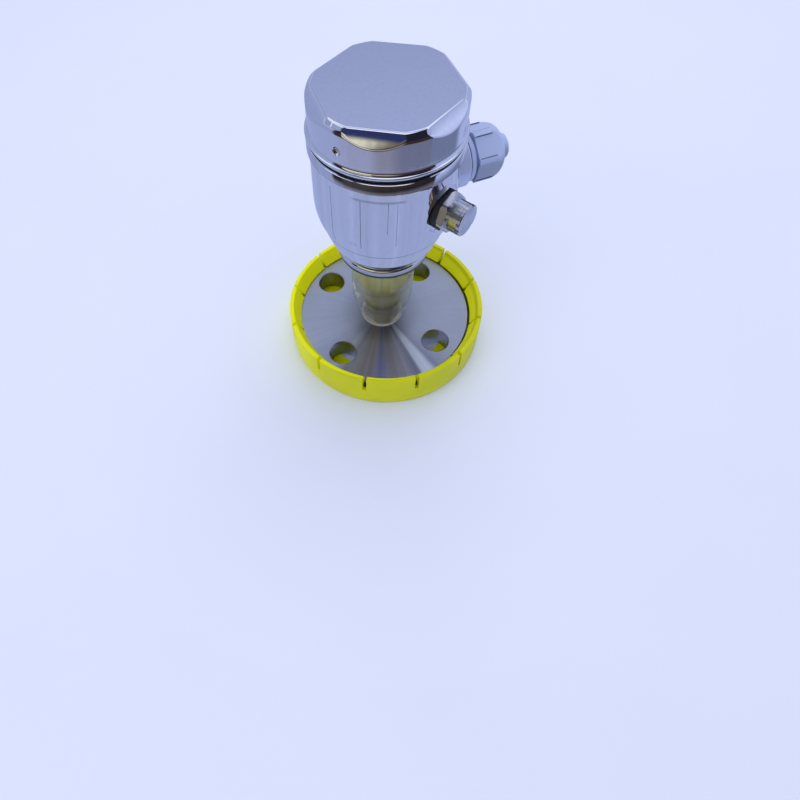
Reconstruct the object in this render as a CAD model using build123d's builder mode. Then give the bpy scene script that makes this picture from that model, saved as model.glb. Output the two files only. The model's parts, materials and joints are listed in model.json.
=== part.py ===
from build123d import *
import os
from math import atan2, cos, degrees, radians, sin, sqrt

# Pressure transmitter with a flanged process connection, in millimetres.
# Z is up along the turned axis, +X runs along the cable entry, and z = 0 is the sealing face.

# Clearances between pieces
running_gap = 0.05
seat_gap = 0.01
loose_gap = 0.3

# Flange, inch size 1, class 150
flange_r = 54.0
flange_top = 14.2
raised_face_r = 25.4
raised_face_h = 1.6
bolt_edge = 14.3
bolt_circle_r = flange_r - bolt_edge
bolt_hole_r = 7.95
bolt_count = 4
flange_turn = -12.5
flange_edge = 0.8
hole_edge = 0.5
diaphragm_r = 16.5
diaphragm_recess = 1.0
diaphragm_rim = 1.6
diaphragm_sheet = 0.25
wave_count = 3
wave_rise = 0.3
wave_margin = 1.2
oil_bore_r = 0.8

# Sensor neck: steps from the flange upwards
foot_r = 9.9
foot_cove = 1.5
foot_h = 13.0
foot_top = flange_top + foot_h
stem_r = 11.2
stem_round = 1.2
stem_h = 19.0
stem_top = foot_top + stem_h
head_r = 14.8
head_round = 1.4
head_h = 24.3
collar_base = stem_top + head_h
journal_r = 13.0
journal_h = 21.7
journal_top = collar_base + journal_h
bay_wall = 4.0
sensor_bay_r = journal_r - bay_wall
sensor_bay_above = 4.0
sensor_bay_floor = stem_top + sensor_bay_above
sensor_cell_h = 8.0
sensor_plug_r = 8.0
sensor_plug_h = 9.0
pin_circle_r = 4.5
pin_count = 6
pin_r = 0.5
pin_h = 3.0

# Swivel collar, its lock screw, ring seal and retaining clip
collar_wide = 11.6
collar_r = journal_r + collar_wide
collar_h = 6.6
collar_top = collar_base + collar_h
collar_edge = 0.6
lock_angle = 75.0
lock_screw_r = 2.0
lock_screw_long = 9.0
lock_socket_r = 1.1
lock_socket_deep = 2.2
neck_ring_above = 3.4
neck_ring_height = collar_top + neck_ring_above
neck_ring_section = 0.9
clip_thick = 1.2
clip_wide = 2.4
clip_r = journal_r + clip_wide
clip_deep = 1.0
clip_groove_r = journal_r - clip_deep
clip_gap_angle = 26.0

# Housing shell
wall = 1.65
body_r = 35.7
lip_out = 1.2
lip_r = body_r + lip_out
mouth_r = body_r - wall
spigot_in = 1.4
spigot_r = collar_r - spigot_in
spigot_h = 4.0
bowl_base = collar_top + spigot_h
bowl_flat_r = collar_r
heel_h = 2.9
cone_base = bowl_base + heel_h
cone_h = 10.6
cone_top = cone_base + cone_h
cone_top_in = 3.2
cone_top_r = body_r - cone_top_in
cone_taper = 3.6
cone_base_r = cone_top_r - cone_taper
bowl_h = 14.9
body_base = cone_top + bowl_h
bowl_bulge = 1.1
bowl_arc_r = body_r + bowl_bulge
body_h = 25.7
body_top = body_base + body_h
flare_h = 2.2
lip_base = body_top + flare_h
lip_h = 5.5
lip_top = lip_base + lip_h
lip_edge = 0.5
floor_h = 3.9
floor_top = bowl_base + floor_h
shelf_wide = 6.45
shelf_r = mouth_r - shelf_wide
shelf_drop = 9.0
shelf_top = body_top - shelf_drop
shelf_h = 2.0
shelf_window = 18.0
insert_screw_in = 1.3
insert_screw_circle = shelf_r + insert_screw_in
insert_screw_angles = (90.0, 210.0, 330.0)
insert_screw_r = 0.9

# Cable gland along +X
port_above = 6.7
port_height = body_base + port_above
gland_thread_r = 10.0
gland_boss_wall = 4.0
gland_boss_r = gland_thread_r + gland_boss_wall
gland_boss_in = 4.5
gland_boss_start = body_r - gland_boss_in
gland_boss_out = 4.3
gland_boss_end = body_r + gland_boss_out
gland_boss_edge = 0.8
gland_washer_wide = 2.2
gland_washer_r = gland_thread_r + gland_washer_wide
gland_washer_h = 0.8
gland_collar_wide = 2.4
gland_collar_r = gland_thread_r + gland_collar_wide
gland_collar_h = 2.2
gland_inner_in = 6.1
gland_inner_end = body_r - gland_inner_in
gland_neck_wide = 0.6
gland_neck_r = gland_thread_r + gland_neck_wide
gland_neck_long = 12.4
gland_neck_end = gland_boss_end + gland_neck_long
finger_in = 1.8
finger_r = gland_neck_r - finger_in
finger_long = 3.0
finger_end = gland_neck_end + finger_long
finger_count = 8
finger_slit = 1.0
cable_r = 4.0
cable_seal_wall = 2.9
cable_seal_r = cable_r + cable_seal_wall
cable_seal_gap = 0.2
gland_bore_r = cable_seal_r + cable_seal_gap
nut_clear = 4.3
nut_start = gland_boss_end + nut_clear
nut_across_flats = 24.0
nut_apothem = nut_across_flats / 2
nut_corner = 1.6
nut_corner_r = nut_apothem + nut_corner
nut_hex_long = 9.8
nut_shoulder = nut_start + nut_hex_long
nut_dome_long = 6.7
nut_nose_start = nut_shoulder + nut_dome_long
nut_nose_long = 3.2
nut_tip = nut_nose_start + nut_nose_long
nut_mouth_gap = 1.3
nut_mouth_r = cable_r + nut_mouth_gap
nut_nose_wall = 1.3
nut_nose_r = nut_mouth_r + nut_nose_wall
nut_rib = 0.45
nut_rib_wide = 3.2
nut_turn = 40.5
nut_dome_out = 0.9
nut_dome_up = 1.3
nut_nose_cove = 0.6
nut_tip_chamfer = 0.5
cable_seal_in = 1.1
cable_seal_start = nut_start + cable_seal_in
cable_seal_long = 12.0
cable_seal_end = cable_seal_start + cable_seal_long

# Pressure compensation vent
vent_angle = -60.0
vent_face_in = 2.3
vent_face = body_r - vent_face_in
vent_face_r = 12.0
vent_boss_deep = 2.7
vent_boss_start = vent_face - vent_boss_deep
vent_thread_r = 6.0
vent_bore_r = 2.6
vent_seal_h = 3.4
vent_hex_start = vent_face + vent_seal_h
vent_hex_h = 3.8
vent_hex_end = vent_hex_start + vent_hex_h
vent_hex_flats = 17.6
vent_hex_corner = 1.1
vent_hex_corner_r = vent_hex_flats / 2 + vent_hex_corner
vent_hex_turn = 8.0
vent_seal_r = vent_hex_corner_r - loose_gap
vent_core_r = 6.5
vent_core_h = 5.0
vent_core_end = vent_hex_end + vent_core_h
vent_rib_count = 30
vent_rib_deep = 0.3
vent_cap_out = 1.2
vent_cap_r = vent_core_r + vent_cap_out
vent_cap_wall = 0.7
vent_roof = 0.6
vent_cap_groove = vent_core_end + vent_roof
vent_groove_wide = 0.3
vent_disc_h = 1.9
vent_cap_end = vent_cap_groove + vent_disc_h
vent_window_wide = 4.4
vent_window_sill = 0.9
vent_window_start = vent_hex_end + vent_window_sill
vent_window_angles = (-68.0, 52.0, 172.0)
vent_notch_wide = 2.2
vent_notch_shift = 12.0
vent_filter_h = 0.6

# Screw cover
cover_gap = 1.6
cover_base = lip_top + cover_gap
cover_h = 20.3
cover_top = cover_base + cover_h
bead_out = 0.2
cover_bead_r = lip_r + bead_out
bead_h = 1.6
cover_bead_top = cover_base + bead_h
waist_h = 3.8
cover_side_base = cover_base + waist_h
cover_side_r = body_r
cover_crown_r = 2.5
flat_in = 4.8
cover_flat_apothem = cover_side_r - flat_in
cover_flat_reach = 6.0
cover_turn = -1.9
skirt_r = mouth_r - 2 * running_gap
skirt_h = 8.9
skirt_base = cover_base - skirt_h
skirt_wall = 2.55
skirt_bore_r = skirt_r - skirt_wall
inner_wall_h = 7.5
cover_inner_knee = cover_base + inner_wall_h
cover_roof = 2.6
cover_ceiling = cover_top - cover_roof
ceiling_in = 3.0
cover_ceiling_r = skirt_bore_r - ceiling_in
cover_ring_out = 1.25
cover_ring_r = mouth_r + cover_ring_out
spanner_angle = -148.6
spanner_above = 9.0
spanner_height = cover_base + spanner_above
spanner_hole_r = 2.1
spanner_hole_deep = 2.4
spanner_throat_r = 1.5
spanner_flare_r = 3.4

# Electronic insert under the cover
carrier_gap = 3.85
carrier_r = mouth_r - carrier_gap
carrier_h = 2.8
cable_notch_x = 21.0
cable_notch_wide = 17.0
platform_step = 5.7
platform_r = carrier_r - platform_step
platform_h = 3.4
board_gap = 1.0
board_r = shelf_r - board_gap
board_h = 1.6
board_post_r = 1.8
board_post_in = 3.5
board_post_circle = platform_r - board_post_in
board_post_turn = 30.0
board_drop = 2.4
terminal_x = 11.0
terminal_deep = 11.0
terminal_wide = 25.2
terminal_h = 8.4
terminal_pitch = 8.0
terminal_rows = (-1, 0, 1)
terminal_wire_r = 2.0
terminal_wire_height = 3.0
terminal_screw_r = 2.3
terminal_well_deep = 4.6
terminal_screw_shank_r = 1.4
terminal_screw_long = 3.4
screw_tip_above = 0.4
screw_slot_wide = 0.8
screw_slot_deep = 0.9
small_slot_wide = 0.55
small_slot_deep = 0.65
clamp_wall = 0.5
key_x = -6.0
key_y = 13.0
key_r = 2.6
key_proud = 1.6
key_travel = 0.8
key_flange_wide = 0.6
key_flange_r = key_r + key_flange_wide
key_flange_h = 0.8
dip_x = -15.0
dip_long = 6.0
dip_wide = 9.0
dip_h = 2.6
dip_slot_long = 3.6
dip_slot_wide = 1.6
dip_slot_deep = 1.4
dip_pitch = 4.0
slider_long = 1.5
slider_proud = 0.7
led_r = 1.5
led_proud = 1.0
ground_x = 1.0
ground_in = 5.9
ground_y = ground_in - platform_r
ground_clamp_r = 3.2
ground_clamp_h = 1.0
screw_head_r = 2.1
screw_head_h = 1.3
head_edge = 0.25

# Clear shrink sleeve around the neck
sleeve_wall = 0.45
sleeve_outline = ((12.1, 0.0), (12.3, 2.0), (13.5, 6.0), (16.1, 12.0), (17.6, 18.0), (18.0, 26.0))
sleeve_top_gap = 0.6
sleeve_top = collar_base - sleeve_top_gap
sleeve_top_r = 17.8

# Yellow protective cap around the flange, sitting loose and to one side
cap_gap = 2.6
cap_bore_r = flange_r + cap_gap
cap_wall = 2.4
cap_r = cap_bore_r + cap_wall
cap_offset_spare = 0.4
cap_offset = cap_gap - cap_offset_spare
cap_offset_angle = -18.0
cap_draft = 0.4
cap_foot_r = cap_r - cap_draft
cap_stand = 8.8
cap_rim = flange_top + cap_stand
cap_rim_in = 0.3
cap_rim_bore_r = cap_bore_r - cap_rim_in
cap_lip_over = 1.6
cap_lip_r = flange_r - cap_lip_over
cap_lip_h = 0.6
cap_under = 1.2
cap_base = -cap_under
cap_floor_wide = 17.2
cap_floor_r = flange_r - cap_floor_wide
cap_slot_count = 12
cap_slot_wide = 2.3
cap_slot_turn = -4.0
cap_slot_below = 2.6
cap_edge = 0.9
cap_foot_edge = 1.4
cap_edge_step = 0.3
cap_foot_step = 0.4

os.makedirs("parts", exist_ok=True)


def save(shape, name):
    shape.label = name
    export_step(shape, f"parts/{name}.step")


def turned(points):
    """Revolves a closed outline of (radius, height) points around Z in the open part."""
    with BuildSketch(Plane.XZ) as outline:
        with BuildLine():
            Polyline(*points, close=True)
        make_face()
    revolve(outline.sketch, axis=Axis.Z)


def spoke(angle, height):
    """Plane through the Z axis: local x runs outwards at this angle, local y up."""
    a = radians(angle)
    return Plane(origin=(0, 0, height), x_dir=(cos(a), sin(a), 0), z_dir=(sin(a), -cos(a), 0))


def facing(angle, reach, height):
    """Plane that faces outwards at this angle and distance: local y is up."""
    a = radians(angle)
    return Plane(
        origin=(reach * cos(a), reach * sin(a), height),
        x_dir=(-sin(a), cos(a), 0),
        z_dir=(cos(a), sin(a), 0),
    )


def turned_outwards(points, angle):
    """Revolves (reach, radius) points around the port axis at this angle."""
    plane = spoke(angle, port_height)
    with BuildSketch(plane) as outline:
        with BuildLine():
            Polyline(*points, close=True)
        make_face()
    revolve(outline.sketch, axis=Axis(plane.origin, plane.x_dir))


def ring_seal(major_r, section, height):
    """Round-section ring around Z."""
    with BuildSketch(Plane.XZ) as outline:
        with Locations((major_r, height)):
            Circle(section)
    revolve(outline.sketch, axis=Axis.Z)


# Flange with raised face, bolt holes and oil bore
with BuildPart() as flange:
    turned(
        (
            (oil_bore_r, diaphragm_recess),
            (diaphragm_r + running_gap, diaphragm_recess),
            (diaphragm_r + running_gap, 0),
            (raised_face_r, 0),
            (raised_face_r, raised_face_h),
            (flange_r - flange_edge, raised_face_h),
            (flange_r, raised_face_h + flange_edge),
            (flange_r, flange_top - flange_edge),
            (flange_r - flange_edge, flange_top),
            (oil_bore_r, flange_top),
        )
    )
    with BuildSketch(Plane.XY.offset(flange_top)):
        with PolarLocations(bolt_circle_r, bolt_count, start_angle=45 + flange_turn):
            Circle(bolt_hole_r)
    extrude(amount=-flange_top, mode=Mode.SUBTRACT)
    bolt_edges = flange.edges().filter_by(GeomType.CIRCLE).group_by(Axis.Z)[-1]
    chamfer([edge for edge in bolt_edges if abs(edge.radius - bolt_hole_r) < hole_edge], hole_edge)
save(flange.part, "flange")

# Corrugated process diaphragm welded in the recess of the raised face
wave_start = oil_bore_r + wave_margin
wave_pitch = (diaphragm_r - diaphragm_rim - wave_start) / (2 * wave_count)
sheet_high = diaphragm_recess - diaphragm_sheet - wave_rise
upper = [(0, sheet_high + diaphragm_sheet)]
lower = [(0, sheet_high)]
for wave in range(2 * wave_count + 1):
    swell = wave_rise / 2 if wave % 2 else 0
    upper.append((wave_start + wave * wave_pitch, sheet_high + diaphragm_sheet + swell))
    lower.append((wave_start + wave * wave_pitch, sheet_high + swell))
rim = [(diaphragm_r - diaphragm_rim / 2, diaphragm_recess), (diaphragm_r, diaphragm_recess)]
rim += [(diaphragm_r, sheet_high)]
with BuildPart() as process_diaphragm:
    turned(upper + rim + lower[::-1])
save(process_diaphragm.part, "process_diaphragm")

# Sensor neck: foot, stem, head and the journal that the housing turns on
with BuildPart() as neck:
    with BuildSketch(Plane.XZ):
        with BuildLine():
            foot = Line((oil_bore_r, flange_top), (foot_r + foot_cove, flange_top))
            cove = RadiusArc(foot @ 1, (foot_r, flange_top + foot_cove), foot_cove)
            side = Line(cove @ 1, (foot_r, foot_top))
            under = Line(side @ 1, (stem_r - stem_round, foot_top))
            edge = RadiusArc(under @ 1, (stem_r, foot_top + stem_round), -stem_round)
            stem = Line(edge @ 1, (stem_r, stem_top))
            step = Line(stem @ 1, (head_r - head_round, stem_top))
            brow = RadiusArc(step @ 1, (head_r, stem_top + head_round), -head_round)
            Polyline(
                brow @ 1,
                (head_r, collar_base),
                (journal_r, collar_base),
                (journal_r, journal_top),
                (sensor_bay_r, journal_top),
                (sensor_bay_r, sensor_bay_floor),
                (oil_bore_r, sensor_bay_floor),
                foot @ 0,
            )
        make_face()
    revolve(axis=Axis.Z)
    with BuildSketch(Plane.XZ):
        with Locations((journal_r, neck_ring_height)):
            Rectangle(2 * (2 * neck_ring_section), 2 * (neck_ring_section + running_gap))
        with Locations((journal_r, floor_top + running_gap + clip_thick / 2)):
            Rectangle(2 * (journal_r - clip_groove_r), clip_thick + 2 * running_gap)
    revolve(axis=Axis.Z, mode=Mode.SUBTRACT)
save(neck.part, "neck")

# Pressure cell at the bottom of the neck
with BuildPart() as sensor_cell:
    with BuildSketch(Plane.XY.offset(sensor_bay_floor)):
        Circle(sensor_bay_r - running_gap)
    extrude(amount=sensor_cell_h)
    with BuildSketch(Plane.XY.offset(sensor_bay_floor + sensor_cell_h)):
        Circle(sensor_bay_r - running_gap - wall)
    extrude(amount=pin_h)
save(sensor_cell.part, "sensor_cell")

# Connector on the neck with its pins
with BuildPart() as sensor_plug:
    with BuildSketch(Plane.XY.offset(journal_top)):
        Circle(journal_r - running_gap - wall)
    extrude(amount=pin_h)
    with BuildSketch(Plane.XY.offset(journal_top + pin_h)):
        Circle(sensor_plug_r)
        Rectangle(sensor_plug_r, 2 * sensor_plug_r - wall, mode=Mode.INTERSECT)
    extrude(amount=sensor_plug_h)
    with BuildSketch(Plane.XY.offset(journal_top + pin_h + sensor_plug_h)):
        with PolarLocations(pin_circle_r / 2, pin_count):
            Circle(pin_r)
    extrude(amount=pin_h)
save(sensor_plug.part, "sensor_plug")

# Ring seal between neck and housing
with BuildPart() as neck_ring:
    ring_seal(journal_r - neck_ring_section, neck_ring_section, neck_ring_height)
save(neck_ring.part, "neck_ring")

# Retaining clip in the neck groove, above the housing floor
clip_height = floor_top + running_gap
with BuildPart() as neck_clip:
    with BuildSketch(Plane.XY.offset(clip_height)):
        Circle(clip_r)
        Circle(clip_groove_r + running_gap, mode=Mode.SUBTRACT)
        with Locations((-clip_r, 0)):
            Rectangle(clip_r, clip_r * sin(radians(clip_gap_angle)), mode=Mode.SUBTRACT)
    extrude(amount=clip_thick)
save(neck_clip.part, "neck_clip")

# Swivel collar under the housing, with the tapped hole for its lock screw
with BuildPart() as swivel_collar:
    turned(
        (
            (journal_r + running_gap, collar_base),
            (collar_r - collar_edge, collar_base),
            (collar_r, collar_base + collar_edge),
            (collar_r, collar_top - collar_edge),
            (collar_r - collar_edge, collar_top),
            (journal_r + running_gap, collar_top),
        )
    )
    with BuildSketch(facing(lock_angle, 0, collar_base + collar_h / 2)):
        Circle(lock_screw_r + running_gap)
    extrude(amount=collar_r + wall, mode=Mode.SUBTRACT)
save(swivel_collar.part, "swivel_collar")

# Hexagon socket set screw that locks the swivel
lock_reach = journal_r + loose_gap
with BuildPart() as lock_screw:
    with BuildSketch(facing(lock_angle, lock_reach, collar_base + collar_h / 2)):
        Circle(lock_screw_r)
    extrude(amount=lock_screw_long)
    with BuildSketch(facing(lock_angle, lock_reach + lock_screw_long, collar_base + collar_h / 2)):
        RegularPolygon(lock_socket_r, 6)
    extrude(amount=-lock_socket_deep, mode=Mode.SUBTRACT)
    chamfer(lock_screw.faces().sort_by_distance((0, 0, collar_base))[0].edges(), head_edge)
save(lock_screw.part, "lock_screw")

# Housing: drawn bowl with lip, gland boss, vent seat and inner shelf
bowl_centre_r = body_r - bowl_arc_r
bowl_inner_r = bowl_arc_r - wall
cone_slope = (cone_top_r - cone_base_r) / (cone_top - cone_base)
inner_cone_top_r = bowl_centre_r + sqrt(bowl_inner_r**2 - (body_base - cone_top) ** 2)
inner_cone_base_r = inner_cone_top_r - cone_slope * (cone_top - floor_top - wall)
bowl_mid_z = (body_base + cone_top) / 2
outer_mid_r = bowl_centre_r + sqrt(bowl_arc_r**2 - (body_base - bowl_mid_z) ** 2)
inner_mid_r = bowl_centre_r + sqrt(bowl_inner_r**2 - (body_base - bowl_mid_z) ** 2)
with BuildPart() as housing:
    with BuildSketch(Plane.XZ):
        with BuildLine():
            base = Polyline(
                (journal_r + running_gap, collar_top),
                (spigot_r, collar_top),
                (spigot_r, bowl_base),
                (bowl_flat_r, bowl_base),
            )
            heel = TangentArc(base @ 1, (cone_base_r, cone_base), tangent=(1, 0))
            cone = Line(heel @ 1, (cone_top_r, cone_top))
            bowl = ThreePointArc(cone @ 1, (outer_mid_r, bowl_mid_z), (body_r, body_base))
            rise = Line(bowl @ 1, (body_r, body_top))
            flare = TangentArc(rise @ 1, (lip_r, lip_base), tangent=(0, 1))
            lip = Polyline(
                flare @ 1,
                (lip_r, lip_top - lip_edge),
                (lip_r - lip_edge, lip_top),
                (mouth_r, lip_top),
                (mouth_r, body_base),
            )
            inner = ThreePointArc(
                lip @ 1, (inner_mid_r, bowl_mid_z), (inner_cone_top_r, cone_top)
            )
            Polyline(
                inner @ 1,
                (inner_cone_base_r, floor_top + wall),
                (inner_cone_base_r - wall, floor_top),
                (journal_r + running_gap, floor_top),
                base @ 0,
            )
        make_face()
    revolve(axis=Axis.Z)
    with BuildSketch(Plane.XY.offset(shelf_top)):
        Circle(mouth_r + wall / 2)
        Circle(shelf_r, mode=Mode.SUBTRACT)
        with Locations((mouth_r, 0)):
            Rectangle(mouth_r, shelf_window, mode=Mode.SUBTRACT)
    extrude(amount=-shelf_h)
    with BuildSketch(facing(0, gland_boss_start, port_height)):
        Circle(gland_boss_r)
    extrude(amount=gland_boss_end - gland_boss_start)
    with BuildSketch(facing(vent_angle, vent_boss_start, port_height)):
        Circle(vent_face_r - seat_gap)
    extrude(amount=vent_face - vent_boss_start + wall / 2)
    with BuildSketch(facing(0, 0, port_height)):
        Circle(gland_thread_r + running_gap)
    extrude(amount=gland_boss_end + wall, mode=Mode.SUBTRACT)
    with BuildSketch(facing(vent_angle, vent_face, port_height)):
        Circle(vent_face_r)
    extrude(amount=vent_face_r, mode=Mode.SUBTRACT)
    with BuildSketch(facing(vent_angle, 0, port_height)):
        Circle(vent_thread_r + running_gap)
    extrude(amount=vent_face + wall, mode=Mode.SUBTRACT)
    with BuildSketch(Plane.XY.offset(shelf_top)):
        for angle in insert_screw_angles:
            with PolarLocations(insert_screw_circle, 1, start_angle=angle):
                Circle(insert_screw_r + running_gap)
    extrude(amount=-2 * shelf_h, mode=Mode.SUBTRACT)
    boss_rim = housing.edges().filter_by(GeomType.CIRCLE).sort_by(Axis.X)[-2:]
    chamfer([edge for edge in boss_rim if edge.radius > gland_thread_r + wall], gland_boss_edge)
save(housing.part, "housing")

# Flat washer behind the gland
with BuildPart() as gland_washer:
    with BuildSketch(facing(0, gland_boss_end, port_height)):
        Circle(gland_washer_r)
        Circle(gland_thread_r + running_gap, mode=Mode.SUBTRACT)
    extrude(amount=gland_washer_h)
save(gland_washer.part, "gland_washer")

# Gland body: threaded stem, collar, threaded neck and clamping fingers
gland_seat = gland_boss_end + gland_washer_h
with BuildPart() as gland_body:
    turned_outwards(
        (
            (gland_inner_end, gland_bore_r),
            (gland_inner_end, gland_thread_r - hole_edge),
            (gland_inner_end + hole_edge, gland_thread_r),
            (gland_seat, gland_thread_r),
            (gland_seat, gland_collar_r - head_edge),
            (gland_seat + head_edge, gland_collar_r),
            (gland_seat + gland_collar_h - head_edge, gland_collar_r),
            (gland_seat + gland_collar_h, gland_collar_r - head_edge),
            (gland_seat + gland_collar_h, gland_neck_r),
            (gland_neck_end, gland_neck_r),
            (gland_neck_end, finger_r),
            (finger_end, finger_r),
            (finger_end, gland_bore_r),
        ),
        0,
    )
    with BuildSketch(facing(0, finger_end, port_height)):
        with PolarLocations(gland_bore_r, finger_count):
            Rectangle(2 * (finger_r - gland_bore_r), finger_slit)
    extrude(amount=gland_neck_end - finger_end, mode=Mode.SUBTRACT)
save(gland_body.part, "gland_body")

# Rubber cable seal inside the gland
with BuildPart() as cable_seal:
    turned_outwards(
        (
            (cable_seal_start, cable_r),
            (cable_seal_start, cable_seal_r),
            (cable_seal_end - wall, cable_seal_r),
            (cable_seal_end, cable_seal_r - wall),
            (cable_seal_end, cable_r),
        ),
        0,
    )
save(cable_seal.part, "cable_seal")

# Dome nut of the gland, hexagonal with a rib beside each corner
with BuildPart() as gland_nut:
    with BuildSketch(spoke(0, port_height)):
        with BuildLine():
            back = Polyline(
                (nut_start, gland_neck_r + running_gap),
                (nut_start, nut_corner_r - hole_edge),
                (nut_start + hole_edge, nut_corner_r),
                (nut_shoulder, nut_corner_r),
            )
            dome = ThreePointArc(
                back @ 1,
                (
                    (nut_shoulder + nut_nose_start) / 2 + nut_dome_out,
                    (nut_corner_r + nut_nose_r) / 2 + nut_dome_up,
                ),
                (nut_nose_start, nut_nose_r + nut_nose_cove),
            )
            Polyline(
                dome @ 1,
                (nut_nose_start + nut_nose_cove, nut_nose_r),
                (nut_tip - 2 * nut_tip_chamfer, nut_nose_r - nut_tip_chamfer / 2),
                (nut_tip, nut_mouth_r + nut_tip_chamfer),
                (nut_tip, nut_mouth_r),
                (nut_nose_start - 2 * nut_tip_chamfer, nut_mouth_r),
                (nut_nose_start - 4 * nut_tip_chamfer, cable_seal_r + loose_gap),
                (nut_shoulder - nut_nose_cove, gland_neck_r + running_gap),
                back @ 0,
            )
        make_face()
    revolve(axis=Axis((0, 0, port_height), (1, 0, 0)))
    with BuildSketch(facing(0, nut_start, port_height)):
        RegularPolygon(nut_apothem, 6, major_radius=False, rotation=nut_turn)
    extrude(amount=nut_tip - nut_start, mode=Mode.INTERSECT)
    with BuildSketch(facing(0, nut_start, port_height)):
        with PolarLocations(nut_corner_r - nut_rib, 6, start_angle=nut_turn):
            Rectangle(2 * nut_rib, nut_rib_wide)
    extrude(amount=nut_shoulder - nut_start - nut_rib, mode=Mode.ADD)
save(gland_nut.part, "gland_nut")

# Seal ring behind the vent hexagon
with BuildPart() as vent_seal:
    turned_outwards(
        (
            (vent_face, vent_thread_r + running_gap),
            (vent_face, vent_seal_r - hole_edge),
            (vent_face + hole_edge, vent_seal_r),
            (vent_hex_start - hole_edge, vent_seal_r),
            (vent_hex_start, vent_seal_r - hole_edge),
            (vent_hex_start, vent_thread_r + running_gap),
        ),
        vent_angle,
    )
save(vent_seal.part, "vent_seal")

# Vent body: threaded stem, hexagon and spigot
with BuildPart() as vent_body:
    turned_outwards(
        (
            (vent_boss_start, vent_bore_r),
            (vent_boss_start, vent_thread_r - hole_edge),
            (vent_boss_start + hole_edge, vent_thread_r),
            (vent_hex_start, vent_thread_r),
            (vent_hex_start, vent_hex_corner_r - hole_edge),
            (vent_hex_start + hole_edge, vent_hex_corner_r),
            (vent_hex_end - hole_edge, vent_hex_corner_r),
            (vent_hex_end, vent_hex_corner_r - hole_edge),
            (vent_hex_end, vent_core_r - 2 * wall),
            (vent_core_end - vent_filter_h, vent_core_r - 2 * wall),
            (vent_core_end - vent_filter_h, vent_bore_r),
        ),
        vent_angle,
    )
    with BuildSketch(facing(vent_angle, vent_boss_start, port_height)):
        RegularPolygon(vent_hex_flats / 2, 6, major_radius=False, rotation=vent_hex_turn)
    extrude(amount=vent_cap_end - vent_boss_start, mode=Mode.INTERSECT)
save(vent_body.part, "vent_body")

# Ribbed brass-coloured core behind the vent windows
with BuildPart() as vent_core:
    with BuildSketch(facing(vent_angle, vent_hex_end, port_height)):
        Circle(vent_core_r)
        Circle(vent_core_r - 2 * wall + running_gap, mode=Mode.SUBTRACT)
        with PolarLocations(vent_core_r, vent_rib_count):
            Rectangle(2 * vent_rib_deep, vent_rib_deep, mode=Mode.SUBTRACT)
    extrude(amount=vent_core_end - vent_hex_end)
save(vent_core.part, "vent_core")

# Filter membrane on the vent bore
with BuildPart() as vent_filter:
    with BuildSketch(facing(vent_angle, vent_core_end - vent_filter_h, port_height)):
        Circle(vent_core_r - 2 * wall)
    extrude(amount=vent_filter_h)
save(vent_filter.part, "vent_filter")

# Slotted vent cap with windows and a notched end disc
with BuildPart() as vent_cap:
    turned_outwards(
        (
            (vent_hex_end, vent_cap_r - vent_cap_wall),
            (vent_hex_end, vent_cap_r),
            (vent_cap_groove, vent_cap_r),
            (vent_cap_groove, vent_cap_r - vent_groove_wide),
            (vent_cap_groove + vent_groove_wide, vent_cap_r - vent_groove_wide),
            (vent_cap_groove + vent_groove_wide, vent_cap_r),
            (vent_cap_end - head_edge, vent_cap_r),
            (vent_cap_end, vent_cap_r - head_edge),
            (vent_cap_end, 0),
            (vent_core_end, 0),
            (vent_core_end, vent_cap_r - vent_cap_wall),
        ),
        vent_angle,
    )
    with BuildSketch(facing(vent_angle, vent_window_start, port_height)):
        for angle in vent_window_angles:
            with PolarLocations(vent_cap_r, 1, start_angle=angle):
                Rectangle(3 * vent_cap_wall, vent_window_wide)
    extrude(amount=vent_cap_groove - vent_window_start, mode=Mode.SUBTRACT)
    with BuildSketch(facing(vent_angle, vent_cap_groove, port_height)):
        for angle in vent_window_angles:
            with PolarLocations(vent_cap_r, 1, start_angle=angle + vent_notch_shift):
                Rectangle(2 * vent_cap_wall, vent_notch_wide)
    extrude(amount=vent_cap_end - vent_cap_groove, mode=Mode.SUBTRACT)
save(vent_cap.part, "vent_cap")

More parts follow.
